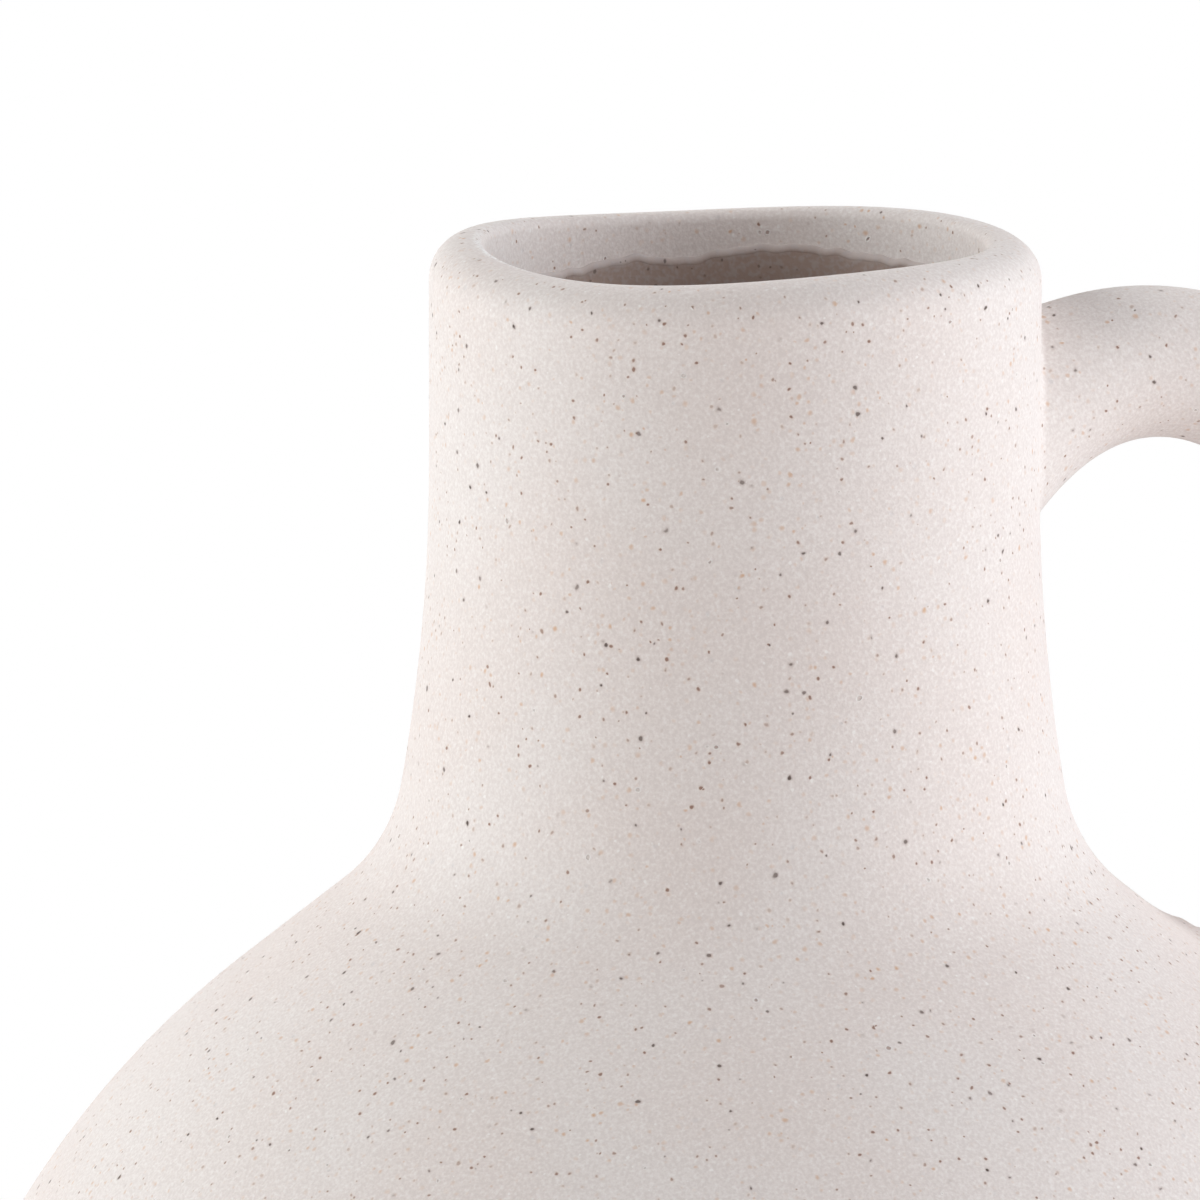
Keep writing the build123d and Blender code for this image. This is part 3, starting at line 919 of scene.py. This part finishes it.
class JUG_OT_pull_handle(bpy.types.Operator):
    """Pulls the ear handle and works its two luting coils on to the walls"""

    bl_idname = "jug.pull_handle"
    bl_label = "Pull the handle"

    def execute(self, context):
        form, ear = context.scene.jug_form, context.scene.jug_ear
        clay = clay_look(context.scene.jug_finish)
        line = outside_line(form)
        ear_line = EarLine(form, ear, line)
        phases = np.arange(ear.round_steps) * 2 * math.pi / ear.round_steps
        over, step = 4 * mm, 0.2 * mm
        neck_rows, coil_rows, handle_rows, toe_rows = 13, 17, 111, 17
        distances = np.arange(-over, ear_line.length + over, step)
        rings = ear_line.body(ear, distances, phases)
        gaps = against_wall(line, rings.reshape(-1, 3))[0].reshape(rings.shape[:2])
        cuts = [ear_line.cut(ear.upper_coil), ear_line.cut(ear_line.length - ear.lower_coil)]
        half = len(distances) // 2
        tracks = []
        for column in range(len(phases)):
            track, gap = rings[:, column], gaps[:, column]
            runs = runs_along(track)
            meet = [crossing(runs[:half], gap[:half]), crossing(runs[:half:-1], gap[:half:-1])]
            ahead = [(track - middle) @ direction for middle, direction in cuts]
            split = [crossing(runs[:half], ahead[0][:half]), crossing(runs[half:], ahead[1][half:])]
            upper = np.linspace(meet[0] + ear.upper_blend, split[0], coil_rows)
            middle = np.linspace(split[0], split[1], handle_rows)
            lower = np.linspace(split[1], meet[1] - ear.lower_blend, coil_rows)
            wanted = np.concatenate([[meet[0]], upper, middle[1:], lower[1:], [meet[1]]])
            tracks.append(np.stack([np.interp(wanted, runs, track[:, axis]) for axis in range(3)], axis=-1))
        grid = np.array(tracks).transpose(1, 0, 2)
        top = worked_root(line, grid[0], grid[1], ear.upper_blend, neck_rows)[::-1]
        toe = ear.lower_blend + ear.toe * ((1 - np.cos(phases)) / 2) ** 2
        bottom = worked_root(line, grid[-1], grid[-2], toe, toe_rows)
        skin = np.concatenate([top[:-1], grid[1:-1], bottom[1:]])
        normals = rounded(skin)
        for row in (0, 1, -2, -1):
            normals[row] = against_wall(line, skin[row])[2]
        first = len(top) + coil_rows - 2
        last = first + handle_rows - 1
        upper = Root(form, ear, line, cuts[0], phases, -1)
        lower = Root(form, ear, line, cuts[1], phases, 1)
        coil = [
            (skin[: first + 1], normals[: first + 1]),
            flat(skin[first], upper.bore),
            flat(upper.bore, upper.bore_foot),
            (upper.seat(skin[0])[::-1], None),
        ]
        settle(join_bands("upper_coil_clay", coil), "upper_luting_coil", clay)
        body = [
            flat(upper.peg_foot, upper.peg),
            flat(upper.peg, skin[first]),
            (skin[first : last + 1], normals[first : last + 1]),
            flat(skin[last], lower.peg),
            flat(lower.peg, lower.peg_foot),
        ]
        settle(join_bands("handle_clay", body, closed=False), "handle", clay)
        coil = [
            (skin[last:], normals[last:]),
            (lower.seat(skin[-1]), None),
            flat(lower.bore_foot, lower.bore),
            flat(lower.bore, skin[last]),
        ]
        settle(join_bands("lower_coil_clay", coil), "lower_luting_coil", clay)
        return {"FINISHED"}


# Width and height of each lamp, the height on the jug's axis that it faces, and its place seen from the
# camera's side: how far right of the axis, beyond it and over the table
lamp_size = (0.9, 0.7)
lamp_aim = 0.20
lamp_places = {
    "left": (-0.87, -0.05, 0.50),
    "right": (0.87, -0.05, 0.55),
    "front": (0.45, -0.78, 0.30),
    "back": (0.0, 0.64, 0.95),
}

# Radius and corners of the floor, and how far out it starts and ends to fade into the backdrop
floor_radius, floor_corners = 6.0, 96
fade_start, fade_end = 0.26, 0.52
floor_colour, white = (0.875, 0.86, 0.85, 1.0), (1.0, 1.0, 1.0, 1.0)


def soft_box(name, power, tint, place):
    """A wide soft lamp that faces the jug."""
    lamp = bpy.data.lights.new(name, "AREA")
    lamp.shape, (lamp.size, lamp.size_y) = "RECTANGLE", lamp_size
    lamp.energy, lamp.color = power, tint
    box = put(name, lamp)
    box.location = place
    box.rotation_euler = (Vector((0.0, 0.0, lamp_aim)) - place).to_track_quat("-Z", "Y").to_euler()


def seen_directly(look):
    """1 for what the camera, a reflection or a clear surface sees, and 0 for light on a surface."""
    ray = look.node("ShaderNodeLightPath", output="Is Camera Ray")
    return ray + ray.beside("Is Glossy Ray") + ray.beside("Is Transmission Ray")


def floor_look():
    """A pale matt floor that takes the jug's shadow near it and fades into the white backdrop."""
    material = bpy.data.materials.new("pale_floor")
    look = Look(material)
    reach = look.vector("LENGTH", {0: look.place()}, "Value")
    matt = look.node("ShaderNodeBsdfDiffuse", sockets={"Color": floor_colour})
    backdrop = look.node("ShaderNodeEmission", sockets={"Color": white, "Strength": 1.0})
    far = reach.rise(fade_start, fade_end) * seen_directly(look)
    surface = look.node("ShaderNodeMixShader", sockets={0: far, 1: matt, 2: backdrop})
    look.node("ShaderNodeOutputMaterial", sockets={"Surface": surface})
    return material


def white_room(sky):
    """A world that lights softly from all round and looks white where it is seen."""
    world = bpy.data.worlds.new("white_room")
    look = Look(world)
    light = look.node("ShaderNodeBackground", sockets={"Color": white, "Strength": sky})
    seen = look.node("ShaderNodeBackground", sockets={"Color": white, "Strength": 1.0})
    surface = look.node("ShaderNodeMixShader", sockets={0: seen_directly(look), 1: light, 2: seen})
    look.node("ShaderNodeOutputWorld", sockets={"Surface": surface})
    return world


class JUG_OT_set_stage(bpy.types.Operator):
    """Sets the pale floor, the soft lamps, the sky and the camera"""

    bl_idname = "jug.set_stage"
    bl_label = "Set the stage"

    def execute(self, context):
        scene, studio = context.scene, context.scene.jug_studio
        turned = Matrix.Rotation(studio.camera_turn, 4, "Z")
        pitched = Matrix.Rotation(math.pi / 2 - studio.camera_pitch, 4, "X")
        rolled = Matrix.Rotation(studio.camera_roll, 4, "Z")
        aim = Matrix.Translation((-studio.aim_left, 0.0, studio.aim_height))
        back = Matrix.Translation((0.0, 0.0, studio.camera_distance))
        lens = bpy.data.cameras.new("camera")
        lens.lens, lens.sensor_width = studio.lens, 36.0
        lens.clip_start, lens.clip_end = 0.05, 50.0
        camera = put("camera", lens)
        camera.matrix_world = turned @ aim @ pitched @ rolled @ back
        scene.camera = camera
        for side, place in lamp_places.items():
            power, tint = getattr(studio, side + "_power"), getattr(studio, side + "_tint")
            soft_box(side + "_lamp", power, tint, turned @ Vector(place))
        bearings = np.arange(floor_corners) * 2 * math.pi / floor_corners
        rim = floor_radius * np.stack([np.cos(bearings), np.sin(bearings), 0 * bearings], axis=-1)
        mesh = bpy.data.meshes.new("floor")
        mesh.from_pydata(rim.tolist(), [], [range(floor_corners)])
        mesh.materials.append(floor_look())
        put("floor", mesh)
        scene.world = white_room(studio.sky)
        scene.view_settings.view_transform = "Standard"
        return {"FINISHED"}


class JUG_PT_panel(bpy.types.Panel):
    """Lists the steps of making the jug and their settings"""

    bl_label = "Speckled jug"
    bl_idname = "JUG_PT_panel"
    bl_space_type = "VIEW_3D"
    bl_region_type = "UI"
    bl_category = "Jug"

    def draw(self, context):
        for step in steps:
            self.layout.operator(step.bl_idname)
        for group in groups:
            settings = getattr(context.scene, group)
            box = self.layout.box()
            for name in settings.__annotations__:
                box.prop(settings, name)


groups = {"jug_form": JugForm, "jug_ear": JugEar, "jug_finish": JugFinish, "jug_studio": JugStudio}
steps = (
    JUG_OT_throw_body,
    JUG_OT_roll_lip,
    JUG_OT_turn_foot,
    JUG_OT_pour_liner,
    JUG_OT_pull_handle,
    JUG_OT_set_stage,
)


def register():
    """Adds the settings, the steps and the panel."""
    for name, group in groups.items():
        bpy.utils.register_class(group)
        setattr(bpy.types.Scene, name, PointerProperty(type=group))
    for step in (*steps, JUG_PT_panel):
        bpy.utils.register_class(step)


def unregister():
    """Takes them away again."""
    for step in (JUG_PT_panel, *reversed(steps)):
        bpy.utils.unregister_class(step)
    for name, group in groups.items():
        delattr(bpy.types.Scene, name)
        bpy.utils.unregister_class(group)


def main():
    """Makes the jug step by step."""
    register()
    bpy.ops.jug.throw_body()
    bpy.ops.jug.roll_lip()
    bpy.ops.jug.turn_foot()
    bpy.ops.jug.pour_liner()
    bpy.ops.jug.pull_handle()
    bpy.ops.jug.set_stage()


if __name__ == "__main__":
    main()
